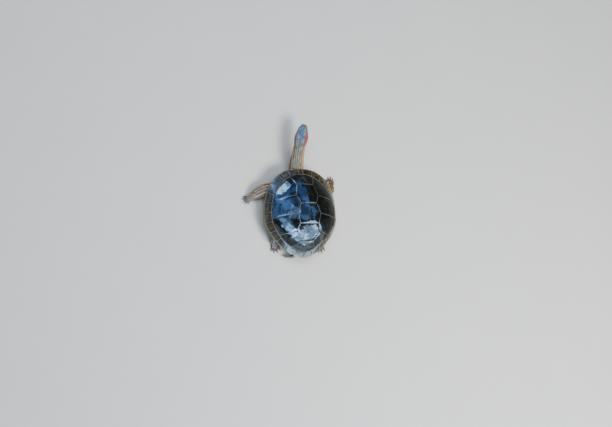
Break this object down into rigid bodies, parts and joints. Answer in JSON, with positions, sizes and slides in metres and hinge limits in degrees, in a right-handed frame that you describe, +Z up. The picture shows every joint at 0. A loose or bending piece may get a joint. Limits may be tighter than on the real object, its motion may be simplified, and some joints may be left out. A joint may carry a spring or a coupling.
{
  "type": "red-eared slider turtle",
  "caption": "Adult red-eared slider turtle at rest, domed dark shell over a flat yellow plastron, neck stretched forward, one foreleg reaching out sideways.",
  "frame": {"origin": "the middle of the plastron's flat underside, on the floor", "axes": "-Y towards the snout, +X to the animal's own left, +Z up"},
  "size_m": [0.2482, 0.3309, 0.099],
  "materials": {
    "scute": "wet near-black horn with pale seams",
    "marginal_scute": "wet olive-brown horn with a pale outer edge",
    "plastron": "satin yellow horn with dark blotches",
    "skin": "damp olive skin with yellow stripes and a red ear stripe",
    "foot_skin": "damp scaly skin with yellow stripes, and horn-coloured claws",
    "eye": "wet yellow-green iris with a dark bar through the pupil"
  },
  "bodies": {
    "root": {"eye_left": "eye", "eye_right": "eye", "fore_foot_left": "foot_skin", "fore_foot_right": "foot_skin", "fore_leg_left": "skin", "fore_leg_right": "skin", "head": "skin", "hind_foot_left": "foot_skin", "hind_foot_right": "foot_skin", "hind_leg_left": "skin", "hind_leg_right": "skin", "lower_jaw": "skin", "marginals_bridge_left": "marginal_scute", "marginals_bridge_right": "marginal_scute", "marginals_front_left": "marginal_scute", "marginals_front_right": "marginal_scute", "marginals_rear_left": "marginal_scute", "marginals_rear_right": "marginal_scute", "neck": "skin", "nuchal": "marginal_scute", "plastron": "plastron", "pleural_1_left": "scute", "pleural_1_right": "scute", "pleural_2_left": "scute", "pleural_2_right": "scute", "pleural_3_left": "scute", "pleural_3_right": "scute", "pleural_4_left": "scute", "pleural_4_right": "scute", "tail": "skin", "trunk": "skin", "vertebral_1": "scute", "vertebral_2": "scute", "vertebral_3": "scute", "vertebral_4": "scute", "vertebral_5": "scute"}
  },
  "joints": []
}
